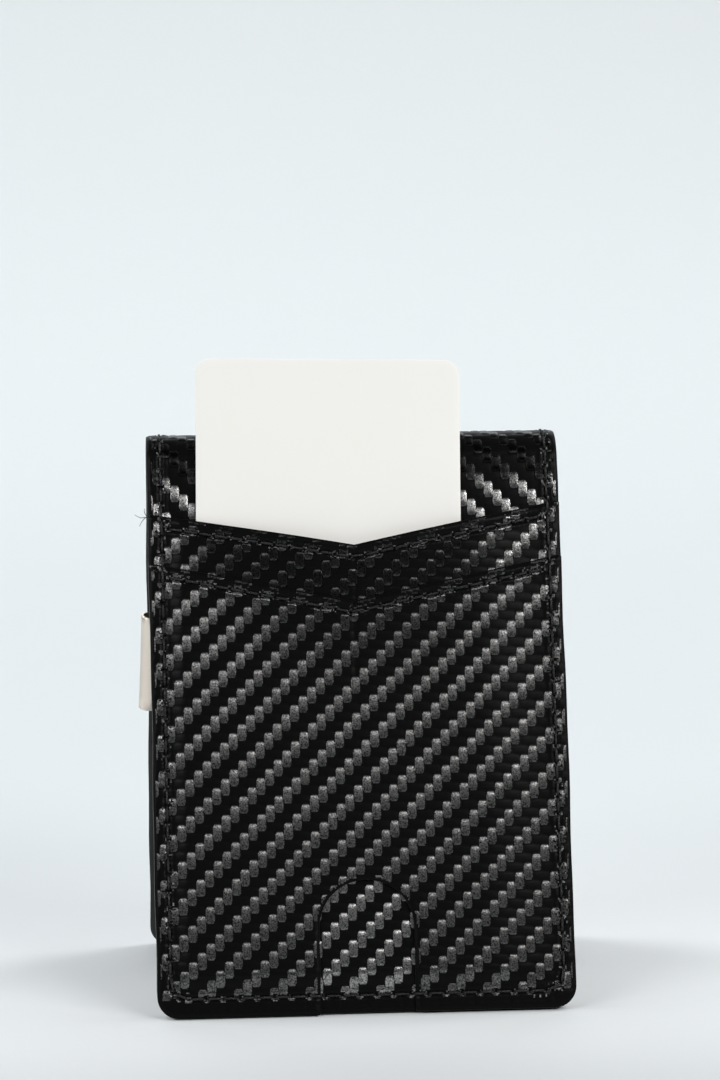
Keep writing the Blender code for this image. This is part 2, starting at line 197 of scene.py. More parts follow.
def waver(v, side):
    """The hand-trimmed flank's departure from straight, outward."""
    wave = 0.10 * sin(0.11 * v + 2.0 * side) + 0.06 * sin(0.29 * v + 1.0)
    return wave * float(smooth(v, CORNER_RADIUS, 14.0) * (1 - smooth(v, TANGENT - 9, TANGENT)))


def flank(side, foot, high):
    """One side of a ply, from above the corner at its foot to high."""
    low = foot + CORNER_RADIUS + 0.5
    heights = np.linspace(low, high, max(int((high - low) / 4), 2))
    return [(side * (HALF_WIDTH + waver(v, side)), v) for v in heights]


def foot_corner(side, foot):
    """The rounded corner at one side of a ply's foot, going anticlockwise."""
    start = 180 if side < 0 else 270
    centre = (side * (HALF_WIDTH - CORNER_RADIUS), foot + CORNER_RADIUS)
    return arc(centre, CORNER_RADIUS, start, start + 90, 8)


def half_outline(top, foot=0.0):
    return np.array([*foot_corner(-1, foot), *foot_corner(1, foot), *flank(1, foot, top),
                     *reversed(flank(-1, foot, top))])


def edge_height(edge, u):
    left, notch_x, notch, right = edge
    falling = notch + (left - notch) * (notch_x - u) / (HALF_WIDTH + notch_x)
    rising = notch + (right - notch) * (u - notch_x) / (HALF_WIDTH - notch_x)
    return np.where(u < notch_x, falling, rising)


def pocket_outline(edge, arch=False):
    left, notch_x, notch, right = edge
    left_foot = -LEFT_LEG_DROP if arch else 0.0
    middle = []
    if arch:
        curve = reversed(arc((ARCH_X, ARCH_SPRING), ARCH_RADIUS, 0, 180, 28))
        middle = [(ARCH_X - ARCH_RADIUS, left_foot), *curve, (ARCH_X + ARCH_RADIUS, 0.0)]
    top = [(HALF_WIDTH - 0.3, right - 0.06), (notch_x + 0.7, notch + 0.13), (notch_x, notch),
           (notch_x - 0.7, notch + 0.12), (-HALF_WIDTH + 0.3, left - 0.06)]
    return np.array([*foot_corner(-1, left_foot), *middle, *foot_corner(1, 0.0),
                     *flank(1, 0.0, right - 0.4), *top, *reversed(flank(-1, left_foot, left - 0.4))])


def box_outline(low, high, radii):
    """A box with its own radius at each corner, from the lower left one round."""
    (x0, y0), (x1, y1) = low, high
    a, b, c, d = radii
    return np.array([*arc((x0 + a, y0 + a), a, 180, 270, 6), *arc((x1 - b, y0 + b), b, 270, 360, 6),
                     *arc((x1 - c, y1 - c), c, 0, 90, 6), *arc((x0 + d, y1 - d), d, 90, 180, 6)])


def pairs(u, s):
    return np.stack((u.ravel(), s.ravel()), 1)


def edge_field(points, outline):
    """Each point's distance inside a closed outline, and the outline's nearest point to it."""
    best = np.full(len(points), np.inf)
    nearest = np.zeros_like(points)
    within = np.zeros(len(points), bool)
    for start, end in zip(outline, np.roll(outline, -1, axis=0)):
        span = end - start
        along = np.clip((points - start) @ span / max(span @ span, 1e-12), 0, 1)
        foot = start + along[:, None] * span
        gap = ((points - foot) ** 2).sum(1)
        closer = gap < best
        best[closer] = gap[closer]
        nearest[closer] = foot[closer]
        if span[1]:
            crosses = (start[1] > points[:, 1]) != (end[1] > points[:, 1])
            reach = start[0] + (points[:, 1] - start[1]) * span[0] / span[1]
            within ^= crosses & (points[:, 0] < reach)
    distance = np.sqrt(best)
    return np.where(within, distance, -distance), nearest


def graded(*stops):
    """Grid lines: stops are (position, pitch from there on), the last one being the end."""
    lines = []
    for (start, pitch), following in zip(stops, stops[1:]):
        count = max(ceil((following[0] - start) / pitch - 0.01), 1)
        lines += list(np.linspace(start, following[0], count, endpoint=False))
    return np.array([*lines, stops[-1][0]])


def trimmed_grid(columns, rows, outline, inset):
    """The grid's quads inside an outline: their points, the quads and the loop of points round them."""
    u, s = np.meshgrid(columns, rows)
    middle_u, middle_s = np.meshgrid((columns[1:] + columns[:-1]) / 2, (rows[1:] + rows[:-1]) / 2)
    distance, _ = edge_field(pairs(middle_u, middle_s), outline)
    kept = (distance > inset).reshape(middle_u.shape)
    number = np.arange(u.size).reshape(u.shape)
    corners = (number[:-1, :-1], number[:-1, 1:], number[1:, 1:], number[1:, :-1])
    quads = np.stack(corners, -1)[kept]
    padded = np.pad(kept, 1)
    beyond = (padded[:-2, 1:-1], padded[1:-1, 2:], padded[2:, 1:-1], padded[1:-1, :-2])
    follow = {}
    for side in range(4):
        rim = kept & ~beyond[side]
        follow.update(zip(corners[side][rim].tolist(), corners[(side + 1) % 4][rim].tolist()))
    first = next(iter(follow))
    loop = [first]
    while follow[loop[-1]] != first:
        loop.append(follow[loop[-1]])
    used, packed = np.unique(quads, return_inverse=True)
    return pairs(u, s)[used], packed.reshape(-1, 4), np.searchsorted(used, loop)


# ---- Meshes

RIM_STEPS = 3


def bare(u, s):
    """A level surface."""
    return 0 * u


def new_object(name, points, faces, materials, cloth=None, slant=None):
    """A mesh from points in mm and (quads or triangles, material number, smooth) sets, turned to face out.
    cloth is each point's place in the weave, in cells, and slant turns the weave on."""
    volume = 0.0
    for polygons, _, _ in faces:
        first = points[polygons[:, 0]]
        for corner in range(1, polygons.shape[1] - 1):
            cross = np.cross(points[polygons[:, corner]], points[polygons[:, corner + 1]])
            volume += (first * cross).sum()
    if volume < 0:
        faces = [(polygons[:, ::-1], *look) for polygons, *look in faces]
    corners = np.concatenate([polygons.ravel() for polygons, _, _ in faces])
    looks = [(polygons.shape[1], *look) for polygons, *look in faces]
    sizes, numbers, rounded = np.repeat(looks, [len(polygons) for polygons, _, _ in faces], axis=0).T
    mesh = bpy.data.meshes.new(name)
    mesh.vertices.add(len(points))
    mesh.vertices.foreach_set("co", (points * MM).astype(np.float32).ravel())
    mesh.loops.add(len(corners))
    mesh.loops.foreach_set("vertex_index", corners.astype(np.int32))
    mesh.polygons.add(len(sizes))
    mesh.polygons.foreach_set("loop_start", (np.cumsum(sizes) - sizes).astype(np.int32))
    mesh.polygons.foreach_set("material_index", numbers.astype(np.int32))
    mesh.polygons.foreach_set("use_smooth", rounded.astype(bool))
    mesh.update(calc_edges=True)
    if cloth is not None:
        layer = mesh.uv_layers.new(name="cloth")
        layer.uv.foreach_set("vector", cloth[corners].astype(np.float32).ravel())
    if slant is not None:
        lay_strands(mesh, cloth[corners], sizes, numbers, slant)
    for material in materials:
        mesh.materials.append(material)
    made = bpy.data.objects.new(name, mesh)
    SCENE.collection.objects.link(made)
    return made


def lay_strands(mesh, place, sizes, numbers, slant):
    """Gives each face its place across and along its float, and the level floats the plain leather."""
    owner = np.repeat(np.arange(len(sizes)), sizes)
    middle = [np.bincount(owner, place[:, axis]) / sizes for axis in (0, 1)]
    cell = np.floor(np.stack(middle, 1))
    warp, across, along = strand(place - cell[owner], cell[owner], slant)
    layer = mesh.uv_layers.new(name="strand")
    layer.uv.foreach_set("vector", np.stack((across, along), 1).astype(np.float32).ravel())
    level = ~warp[np.cumsum(sizes) - sizes] & (numbers == UPRIGHT)
    mesh.polygons.foreach_set("material_index", np.where(level, 0, numbers).astype(np.int32))


def back_faces(ring, outline, curved):
    """Triangles that close a ply's back: the ring's points, more points inside it, and the triangles."""
    low, high = ring.min(0), ring.max(0)
    u, s = np.meshgrid(np.arange(low[0], high[0], 2.0), np.arange(low[1], high[1], 2.0))
    spread = pairs(u, s)
    distance, _ = edge_field(spread, outline)
    spread = spread[distance > 1.2] if curved else spread[:0]
    points = np.concatenate([ring, spread])
    rim = list(range(len(ring)))
    found = geometry.delaunay_2d_cdt([Vector(point) for point in points], [], [rim], 1, 1e-7)
    source = [ids[0] if ids else int(((points - np.array(place)) ** 2).sum(1).argmin())
              for place, ids in zip(found[0], found[3])]
    triangles = np.array([[source[corner] for corner in face] for face in found[2]])
    distinct = [len(set(face)) == 3 for face in triangles.tolist()]
    return spread, triangles[distinct]


def ply(name, outline, columns, rows, place, thickness, relief, materials,
        bulge=None, rim=0.3, back=None, cut=None, cloth=None, slant=None):
    """A closed sheet: a fine outer face shaped by relief(u, s, distance from the edge), a rounded rim,
    an edge wall and a plain back. bulge(u, s) lifts the whole ply, and back(distance, s) lowers its back.
    At the height cut, it ends square, where the next sheet carries it on."""
    flat, quads, loop = trimmed_grid(columns, rows, outline, rim)
    distance, nearest = edge_field(flat[loop], outline)
    inward = (flat[loop] - nearest) / np.where(np.abs(distance) < 1e-6, 1e-6, distance)[:, None]
    square = np.zeros(len(loop), bool)
    if cut is not None:
        square = (np.abs(flat[loop][:, 1] - cut) < 1e-6) & (distance > rim * 1.6)
    nearest[square] = flat[loop][square]
    inward[square] = 0
    flat[loop] = nearest + inward * rim
    distance, _ = edge_field(flat, outline)
    rise, shining = relief(*flat.T, distance)
    height = thickness + rise
    turns = [pi / 2 * step / RIM_STEPS for step in range(1, RIM_STEPS + 1)]
    rings = [nearest + inward * rim * (1 - sin(turn)) for turn in turns]
    heights = [height[loop] - rim * (1 - cos(turn)) for turn in turns]
    lower = min(0.12, thickness / 4)
    rings += [nearest, nearest + inward * lower]
    heights += [np.full(len(loop), lower), np.zeros(len(loop))]
    if back:  # the square end is as thin as the ply's middle
        under = back(np.where(square, HALF_WIDTH, 0.0), nearest[:, 1])
        heights[-2:] = [low - under for low in heights[-2:]]
    spread, triangles = back_faces(rings[-1], outline, bulge or back or cut)
    layout = np.concatenate([flat, *rings, spread])
    behind = -back(edge_field(spread, outline)[0], spread[:, 1]) if back else np.zeros(len(spread))
    total = np.concatenate([height, *heights, behind]) + (bulge(*layout.T) if bulge else 0)
    count, size = len(flat), len(loop)
    ids = [loop, *(count + size * ring + np.arange(size) for ring in range(len(rings)))]
    last = count + size * (len(rings) - 1)
    paint = len(materials) - 1
    ends = square | np.roll(square, -1)
    shining = shining[quads].mean(1)
    # Faces with pulled-up fibres take the material whose grey flecks are painted glints.
    torn_glint, pressed = shining < -0.4, shining >= 0.5
    faces = [(quads[pressed], UPRIGHT if slant else 0, True), (quads[~pressed & ~torn_glint], 0, True),
             (quads[torn_glint], TORN_GLINT, True)]
    faces.append((triangles[:, ::-1] + last, paint, True))
    for level, (ring, following) in enumerate(zip(ids, ids[1:])):
        wall = np.stack((np.roll(ring, -1), ring, following, np.roll(following, -1)), 1)
        number = 0 if level < 2 else paint
        faces += [(wall[~ends], number, True), (wall[ends], number, False)]
    threads = np.stack(cloth(*layout.T), 1) if cloth else layout
    return new_object(name, place(*layout.T, total), faces, materials, threads / (CELL_U, CELL_S), slant)


# ---- Reliefs

def strand(offset, cell, slant):
    """The twill: whether a cell is in an upright float, two cells tall, or in a level one, two cells wide,
    and an offset's place, 0 to 1, across and along that float."""
    phase = np.mod(cell[..., 1] - slant * cell[..., 0], 4)
    warp, step = phase < 2, np.mod(phase, 2)
    level_step = 1 - step if slant > 0 else step
    across = np.where(warp, offset[..., 0], offset[..., 1])
    along = np.where(warp, step + offset[..., 1], level_step + offset[..., 0]) / 2
    return warp, across, along


def weave(u, s, slant):
    """The pressed twill's height, 0 to 1: each float is a barrel that dives under its neighbours."""
    place = np.stack((u / CELL_U, s / CELL_S), -1)
    cell = np.floor(place)
    warp, across, along = strand(place - cell, cell, slant)
    ends = 1 - np.abs(2 * along - 1) ** 3.2
    return (1 - np.abs(2 * across - 1) ** 4) * ends * np.where(warp, 1.0, 0.45)


def crown(distance, drop=0.34, width=1.1):
    """A ply's surface falls away towards its trimmed edge."""
    return -drop * (1 - smooth(distance, 0, width)) ** 1.5


def sewn(u, s, run, depth=0.20, width=0.50, hole=0.55, hole_radius=0.40, lip=0.08, ragged=1):
    """The groove that a run of stitches pulls in, its raised lips and its needle holes, and a mask, 0 to 1,
    of fibres pulled up round the holes and along the groove, which get painted glints."""
    fall, torn_glint = np.zeros((2, len(u)))
    points = np.stack((u, s), 1)
    low, high = run.min(0) - 2, run.max(0) + 2
    near = np.nonzero(((points > low) & (points < high)).all(1))[0]
    local = points[near]
    gap = np.full(len(near), np.inf)
    for start, end in zip(run, run[1:]):
        span = end - start
        along = np.clip((local - start) @ span / (span @ span), 0, 1)
        gap = np.minimum(gap, ((local - start - along[:, None] * span) ** 2).sum(1))
    dip, ring = np.zeros((2, len(near)))
    for point in run:
        reach = ((local - point) ** 2).sum(1)
        dip = np.maximum(dip, np.exp(-reach / hole_radius ** 2))
        ring = np.maximum(ring, np.exp(-((np.sqrt(reach) - 1.5 * hole_radius) / 0.17) ** 2))
    ripple = np.sin(5.3 * local[:, 0] + 4.1 * local[:, 1]) * np.sin(2.3 * local[:, 1])
    flank = np.exp(-((np.sqrt(gap) - 0.95) / 0.3) ** 2)
    lips = lip * (1 + 0.7 * ripple) * (1.5 * ring + flank)
    fall[near] = lips - depth * np.exp(-gap / width ** 2) - hole * dip
    torn_glint[near] = np.maximum(ring, 1.6 * ripple * ragged * flank)
    return fall, torn_glint


def lengths_along(path):
    return np.concatenate([[0], np.cumsum(np.linalg.norm(np.diff(path, axis=0), axis=1))])


def points_at(places, stops, path):
    """A path's points at some places, where stops are the places of its own points."""
    return np.stack([np.interp(places, stops, values) for values in path.T], 1)


def resample(path, pitch=STITCH):
    """Needle holes a stitch apart along a path."""
    path = np.array(path, float)
    lengths = lengths_along(path)
    count = max(round(lengths[-1] / pitch), 1)
    return points_at(np.linspace(0, lengths[-1], count + 1), lengths, path)


def perimeter_seam(top):
    """Down the left side, round the foot and up the right side."""
    corner = SEAM_FOOT + SEAM_CORNER
    left = arc((SEAM_LEFT + SEAM_CORNER, corner), SEAM_CORNER, 180, 270, 6)
    right = arc((SEAM_RIGHT - SEAM_CORNER, corner), SEAM_CORNER, 270, 360, 6)
    return resample([(SEAM_LEFT, top), *left, *right, (SEAM_RIGHT, top)])


def edge_seam(edge, drop):
    ends = (-EDGE_SEAM_HALF, edge[1], EDGE_SEAM_HALF)
    return resample([(u, float(edge_height(edge, u)) - drop) for u in ends], EDGE_STITCH)


def inner_seam(top):
    return resample([(-EDGE_SEAM_HALF, top - INNER_SEAM_DROP), (EDGE_SEAM_HALF, top - INNER_SEAM_DROP)])


PERIMETER = perimeter_seam(FOLD_TOP - 0.2)
UPPER_SEAM = edge_seam(UPPER_EDGE, UPPER_SEAM_DROP)
LOWER_SEAM = edge_seam(LOWER_EDGE, LOWER_SEAM_DROP)


def pocket_bulge(u, s):
    """The pockets stand off the cover over a card, and flare a little towards the upper opening."""
    sides = np.minimum(smooth(u, *RISE_LEFT), smooth(u, *RISE_RIGHT))
    foot = smooth(s, *RISE_FOOT)
    below = edge_height(UPPER_EDGE, u) - s
    flare = FLARE * np.clip(1 - below / FLARE_LENGTH, 0, 1.1) ** 2 * (1 - smooth(np.abs(u), 8, 38))
    return POCKET_RISE * sides * foot + flare


def notch_crease(u, s, edge):
    """The faint upright fold that runs down from the notch."""
    reach = smooth(s, edge[2] - 24, edge[2] - 8)
    return -0.13 * np.exp(-((u - edge[1] - 0.2) / 0.5) ** 2) * reach


def woven(slant, runs, edge=None, cloth=None):
    """The relief of a woven ply. Below its edge the cloth is pressed flat."""
    def relief(u, s, distance):
        groove, torn_glint = np.zeros((2, len(u)))
        for run in runs:
            # The seam's mask of pulled-up fibres also marks where painted glints go.
            pulled, frayed = sewn(u, s, run, ragged=run is PERIMETER)
            groove, torn_glint = groove + pulled, np.maximum(torn_glint, frayed)
        height = crown(distance) + groove
        texture = weave(*(cloth(u, s) if cloth else (u, s)), slant) - 1
        shining = clear = smooth(distance, 0.3, 1.0)
        if edge:
            below = edge_height(edge, u) - s
            clear = clear * smooth(below, 0.9, 1.7)
            shining = np.where((below > 0.3) & (below < 0.6), 1.0, clear) * (s > SEAM_FOOT)
            clear = clear * (0.3 + 0.7 * smooth(s, SEAM_FOOT - 0.5, SEAM_FOOT + 0.5))
            height += notch_crease(u, s, edge)
        shining = np.where(groove < -0.10, 0.0, shining)
        return height + WEAVE_DEPTH * texture * clear, np.where(torn_glint > 0.50, -1.0, shining)
    return relief


def plain(runs):
    def relief(u, s, distance):
        groove = sum(sewn(u, s, run, 0.07, 0.5, 0.14, 0.34, 0)[0] for run in runs)
        return crown(distance, 0.16, 0.8) + groove, np.zeros(len(u))
    return relief


def flat_relief(u, s, distance):
    return np.zeros(len(u)), np.zeros(len(u))


# ---- Materials

class Shader:
    """A material's node tree, with one call to add a node and join its inputs."""

    def __init__(self, name):
        self.material = bpy.data.materials.new(name)
        self.material.use_nodes = True
        self.tree = self.material.node_tree
        self.shader = self.tree.nodes["Principled BSDF"]

    def add(self, kind, *values, out=0, **settings):
        made = self.tree.nodes.new("ShaderNode" + kind)
        for key, value in settings.items():
            if hasattr(made, key):
                setattr(made, key, value)
            else:
                self.join(made.inputs[key], value)
        for index, value in enumerate(values):
            self.join(made.inputs[index], value)
        return made.outputs[out]

    def join(self, socket, value):
        if isinstance(value, bpy.types.NodeSocket):
            self.tree.links.new(value, socket)
        elif value is not None:
            socket.default_value = value

    def maths(self, operation, *values):
        return self.add("Math", *values, operation=operation)

    def times(self, first, second):
        return self.maths("MULTIPLY", first, second)

    def plus(self, first, second):
        return self.maths("ADD", first, second)

    def blend(self, factor, low, high):
        """Two numbers mixed by a factor."""
        return self.add("MapRange", factor, 0.0, 1.0, low, high)

    def smooth(self, value, low, high):
        """A number eased from 0 at low to 1 at high."""
        return self.add("MapRange", value, low, high, 0.0, 1.0, interpolation_type="SMOOTHSTEP")

    def mix(self, factor, low, high):
        """Two colours mixed by a factor."""
        return self.add("Mix", factor, *[None] * 5, low, high, data_type="RGBA", out=2)

    def set(self, **values):
        for key, value in values.items():
            self.join(self.shader.inputs[key.replace("_", " ")], value)
        return self

    def bump(self, height, distance):
        return self.set(Normal=self.add("Bump", Strength=1.0, Distance=distance * MM, Height=height))

    def uv(self, name):
        return self.add("UVMap", uv_map=name)

    def split(self, vector):
        """A vector's three numbers."""
        return self.add("SeparateXYZ", vector).node.outputs

    def stretch(self, vector, *scale):
        return self.add("VectorMath", vector, scale, operation="MULTIPLY")

    def dim(self, colour, factor):
        return self.add("VectorMath", colour, operation="SCALE", Scale=factor)

    def place(self):
        """Object coordinates in millimetres."""
        return self.stretch(self.add("TexCoord", out=3), 1 / MM, 1 / MM, 1 / MM)

    def noise(self, vector, scale, detail=2.0):
        return self.add("TexNoise", Vector=vector, Scale=scale, Detail=detail)


def grey(value, warmth=0.0):
    return (value * (1 + warmth), value, value * (1 - warmth), 1.0)


def upright_floats(name, rough, shine, painted_light):
    """The pressed floats with upright fibres: they throw the side light along a level line.
    The last argument gives, for each place on the ply, a factor for its colour: below 1 it paints shade, above 1
    it paints a highlight, on the crown of a float more than on its rim."""
    m = Shader(name)
    cloth = m.uv("cloth")
    across, along = (m.maths("ABSOLUTE", m.maths("MULTIPLY_ADD", part, 2.0, -1.0))
                     for part in m.split(m.uv("strand"))[:2])
    width = m.maths("MULTIPLY_ADD", m.maths("POWER", along, 2.2), -0.60, 1.23)
    grain = m.noise(m.place(), 3.4, 4.0)
    ragged = m.maths("MULTIPLY_ADD", grain, 0.24, -0.12)
    sides = m.smooth(m.plus(m.maths("SUBTRACT", width, across), ragged), 0.0, 0.14)
    barrel = m.times(sides, m.smooth(m.plus(along, ragged), 1.0, 0.83))
    fibres = m.noise(m.stretch(cloth, 26.0, 4.0, 1.0), 1.0)
    rim = m.smooth(m.maths("MAXIMUM", m.maths("DIVIDE", across, width), along), 0.62, 0.92)
    shade = m.times(m.blend(fibres, 0.5, 1.5), m.smooth(grain, 0.22, 0.80))
    u, s, _ = m.split(cloth)
    # Painted shade and painted highlight: the colour is scaled by place, fully on a float's crown and more mildly
    # on its rim.
    painted_light_factor = painted_light(m, m.times(u, CELL_U), m.times(s, CELL_S))
    shade = m.times(shade, m.blend(rim, painted_light_factor, m.maths("POWER", painted_light_factor, 0.6)))
    m.set(Base_Color=m.dim(m.mix(barrel, grey(0.006), grey(2 * shine, 0.01)), shade))
    m.set(Roughness=m.plus(m.blend(barrel, 0.6, rough), m.blend(grain, 0.14, -0.14)))
    m.set(Metallic=0.85, Specular_IOR_Level=0.2, Anisotropic=0.9)
    m.set(Tangent=m.add("Tangent", direction_type="UV_MAP", uv_map="cloth"))
    height = m.plus(m.times(fibres, 0.25), m.times(grain, 0.28))
    return m.bump(m.plus(height, barrel), 0.040).material


def painted_light_strip(m, u, s):
    """Painted shade darkens the strip between the two openings, least at its right end and less at its left.
    The foot, in the thumb arch, is brightened by a painted highlight."""
    right = m.times(m.smooth(u, 16.0, 34.0), 0.8)
    strip = m.maths("MAXIMUM", right, m.blend(m.smooth(u, -29.0, -37.0), 0.15, 0.60))
    return m.blend(m.smooth(s, 64.0, 50.0), strip, 1.55)


def painted_shade_opening(m, u, s):
    """Painted shade darkens the lower pocket in the middle below its opening; elsewhere its colour is raised a
    little.
    """
    middle = m.smooth(m.maths("ABSOLUTE", u), 34.0, 4.0)
    high = m.smooth(s, LOWER_EDGE[2] - 34, LOWER_EDGE[2] + 2)
    return m.blend(m.times(middle, high), 1.06, 0.46)


def painted_shade_fold(m, u, s):
    """Painted shade darkens the cover where it turns over the fold, fading in on the front and out slowly down the
    rear; elsewhere the colour is lowered a little.
    """
    front = m.smooth(s, FOLD_TOP - 15.5, FOLD_TOP - 11.5)
    rear = m.smooth(s, FOLD_TOP + 20, FOLD_TOP - 2)
    return m.blend(m.times(front, rear), 0.95, 0.02)


def level_floats():
    """The rest of the pressed leather: smooth, deep black, with fine level fibres."""
    m = Shader("leather_level_floats")
    fibres = m.noise(m.stretch(m.uv("cloth"), 3.5, 34.0, 1.0), 1.0)
    grain = m.noise(m.place(), 7.0, 3.0)
    m.set(Base_Color=m.mix(fibres, grey(0.0015), grey(0.0045)), Specular_IOR_Level=0.05)
    m.set(Roughness=m.blend(grain, 0.24, 0.40))
    return m.bump(m.plus(m.times(fibres, 0.6), grain), 0.012).material


def torn_leather_glints():
    """Fibres that the needle has pulled up; their grey flecks are painted glints."""
    m = Shader("leather_torn_fibres_painted_glints")
    place = m.place()
    fleck = m.smooth(m.noise(place, 2.1, 3.0), 0.46, 0.66)
    m.set(Base_Color=m.mix(fleck, grey(0.003), grey(0.21, 0.01)), Roughness=m.blend(fleck, 0.3, 0.7))
    return m.bump(m.noise(place, 4.5, 2.0), 0.10).material


def noisy(name, colours, colour_noise, rough, rough_noise, bump, bump_noise, **constants):
    """A material whose colour, roughness and relief each follow a noise of their own, (scale, detail)."""
    m = Shader(name).set(**constants)
    place = m.place()
    m.set(Base_Color=m.mix(m.noise(place, *colour_noise), *colours))
    m.set(Roughness=m.blend(m.noise(place, *rough_noise), *rough))
    return m.bump(m.noise(place, *bump_noise), bump).material


def lining_leather():
    """Plain black leather with a fine pebbled grain."""
    m = Shader("lining_grain")
    place = m.place()
    pebbles = m.add("TexVoronoi", Vector=place, Scale=2.1, feature="SMOOTH_F1")
    fine = m.noise(place, 6.0, 3.0)
    wide = m.noise(place, 0.08, 2.0)
    m.set(Base_Color=m.mix(wide, grey(0.009, 0.05), grey(0.017, 0.05)), Specular_IOR_Level=0.45)
    m.set(Roughness=m.blend(fine, 0.42, 0.66))
    return m.bump(m.plus(m.times(fine, 0.35), m.times(pebbles, 0.9)), 0.07).material


def thread_material():
    m = Shader("waxed_thread")
    place = m.place()
    m.set(Base_Color=m.mix(m.noise(place, 3.0), grey(0.003), grey(0.009)), Specular_IOR_Level=0.4)
    m.set(Roughness=m.blend(m.smooth(m.noise(place, 1.6), 0.38, 0.60), 0.22, 0.80))
    return m.bump(m.noise(place, 4.0, 3.0), 0.14).material


def satin_nickel():
    """Brushed along the band, with a little haze and fine scratches."""
    m = Shader("satin_nickel")
    lines = m.noise(m.stretch(m.uv("cloth"), 0.6, 60.0, 1.0), 1.0, 3.0)
    haze = m.noise(m.place(), 0.12, 2.0)
    m.set(Base_Color=m.mix(haze, (0.74, 0.665, 0.58, 1), (0.82, 0.74, 0.655, 1)), Metallic=1.0)
    m.set(Roughness=m.blend(lines, 0.30, 0.46), Anisotropic=0.5)
    m.set(Tangent=m.add("Tangent", direction_type="UV_MAP", uv_map="cloth"), Anisotropic_Rotation=0.25)
    return m.bump(lines, 0.006).material


def board_material():
    m = Shader("fibre_board")
    fibres = m.noise(m.stretch(m.place(), 1.0, 1.0, 0.25), 4.0, 4.0)
    m.set(Base_Color=m.mix(fibres, (0.13, 0.10, 0.07, 1), (0.26, 0.21, 0.15, 1)), Roughness=0.85)
    return m.bump(fibres, 0.05).material


# The trimmed leather's edge, coated with dark dull paint
EDGE = noisy("edge_paint", (grey(0.004, 0.10), grey(0.012, 0.16)), (0.35, 3.0), (0.38, 0.62), (1.7, 2.0),
             0.06, (2.2, 4.0), Specular_IOR_Level=0.4)
LEVEL = level_floats()
FRAYED_GLINTS = torn_leather_glints()


def woven_leather(name, rough, shine, painted_light):
    """A woven ply's materials: its level floats, upright floats carrying painted shade and highlight,
    needle-pulled fibres with painted glints, and trimmed edge.
    """
    return [LEVEL, upright_floats(name, rough, shine, painted_light), FRAYED_GLINTS, EDGE]


# The upright floats carry painted light: painted shade over the fold on the cover; painted shade in the strip
# between the openings, with painted highlights at its ends and through the thumb arch; painted shade below the
# lower opening.
COVER_LEATHER = woven_leather("leather_upright_floats", 0.30, 0.17, painted_shade_fold)
STRIP_LEATHER = woven_leather("leather_painted_light_upright_floats", 0.31, 0.15, painted_light_strip)
PAINTED_SHADE_LEATHER = woven_leather("leather_painted_shade_upright_floats", 0.37, 0.10, painted_shade_opening)
LINING_LEATHER = [lining_leather(), EDGE]
THREAD = thread_material()
NICKEL = satin_nickel()
CARD = noisy("white_card", ((0.825, 0.81, 0.775, 1), (0.85, 0.835, 0.80, 1)), (0.05, 2.0), (0.38, 0.50),
             (5.0, 2.0), 0.008, (8.0, 2.0), Specular_IOR_Level=0.4)
BOARD = board_material()
WRINKLES = (0.5, 4.0)
FOIL = noisy("rfid_foil", ((0.66, 0.66, 0.67, 1), (0.80, 0.80, 0.81, 1)), WRINKLES, (0.22, 0.40), WRINKLES,
             0.2, WRINKLES, Metallic=1.0)


# ---- Pieces

FINE = 6  # mesh steps in a cell of the weave
SEAM_GRID = 0.34  # mesh pitch by the linings' seams
LINING_RIM = 0.18


def fold_bend(piece, side):
    """Bakes a piece's placing into its mesh, the same on either side of the fold."""
    flat = cover_point(side, 0.0, TANGENT, 0.0) * MM
    top = cover_point(side, 0.0, FOLD_TOP, 0.0) * MM
    if side == FRONT:
        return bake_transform(piece)
    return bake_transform(piece)


def finish(piece, body=None, replaced=()):
    if body:
        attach(piece, body)
    if replaced:
        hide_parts(*replaced)
    return piece


def rim_depth(distance, s):
    """The cover is as deep as its board all round its rim, and thinner over the board and the fold."""
    return 0.70 * (1 - smooth(distance, 2.0, 2.9)) * (1 - smooth(s, TANGENT - 3, TANGENT))


def past_the_fold(u, s):
    """The rear cover's cloth runs on from the front's, over the fold and down."""
    return u, 2 * FOLD_TOP - s


def cell_lines(cell, *stops):
    """Grid lines on the weave's own lines: stops are (position, steps in a cell from there on)."""
    *starts, (end, _) = stops
    return graded(*((floor(low / cell) * cell, cell / steps) for low, steps in starts), (end, 0))


def woven_columns(steps):
    return cell_lines(CELL_U, (-HALF_WIDTH - 1, steps), (HALF_WIDTH + 1, 0))


def build_cover_half(name, side, steps, rows, replaced, cloth=None):
    piece = ply(name, half_outline(FOLD_TOP + 3), woven_columns(steps), rows,
                outside(side, SHELL_THICKNESS), SHELL_THICKNESS,
                woven(COVER_SLANT, [PERIMETER], cloth=cloth), COVER_LEATHER,
                back=rim_depth, cut=FOLD_TOP, cloth=cloth, slant=COVER_SLANT)
    fold_bend(finish(piece, replaced=replaced), side)


def build_cover():
    rows = cell_lines(CELL_S, (-0.3, FINE), (1.5, 0.75), (88, FINE), (FOLD_TOP, 0))
    build_cover_half("cover_front", FRONT, FINE, rows, ["front_shell"])
    rows = past_the_fold(0, cell_lines(CELL_S, (FOLD_TOP, FINE - 1), (2 * FOLD_TOP + 0.3, 0)))[1][::-1]
    rows = np.append(rows[rows < FOLD_TOP - 0.1], FOLD_TOP)
    build_cover_half("cover_rear", REAR, FINE - 1, rows, ["rear_shell", "spine_shell"], past_the_fold)


def build_pocket(name, outline, rows, near, edge, seam, leather, replaced):
    piece = ply(name, outline, woven_columns(FINE), rows, outside(FRONT, near), POCKET_THICKNESS,
                woven(POCKET_SLANT, [PERIMETER, seam], edge), leather, bulge=pocket_bulge,
                slant=POCKET_SLANT)
    finish(piece, "front_half", [replaced])


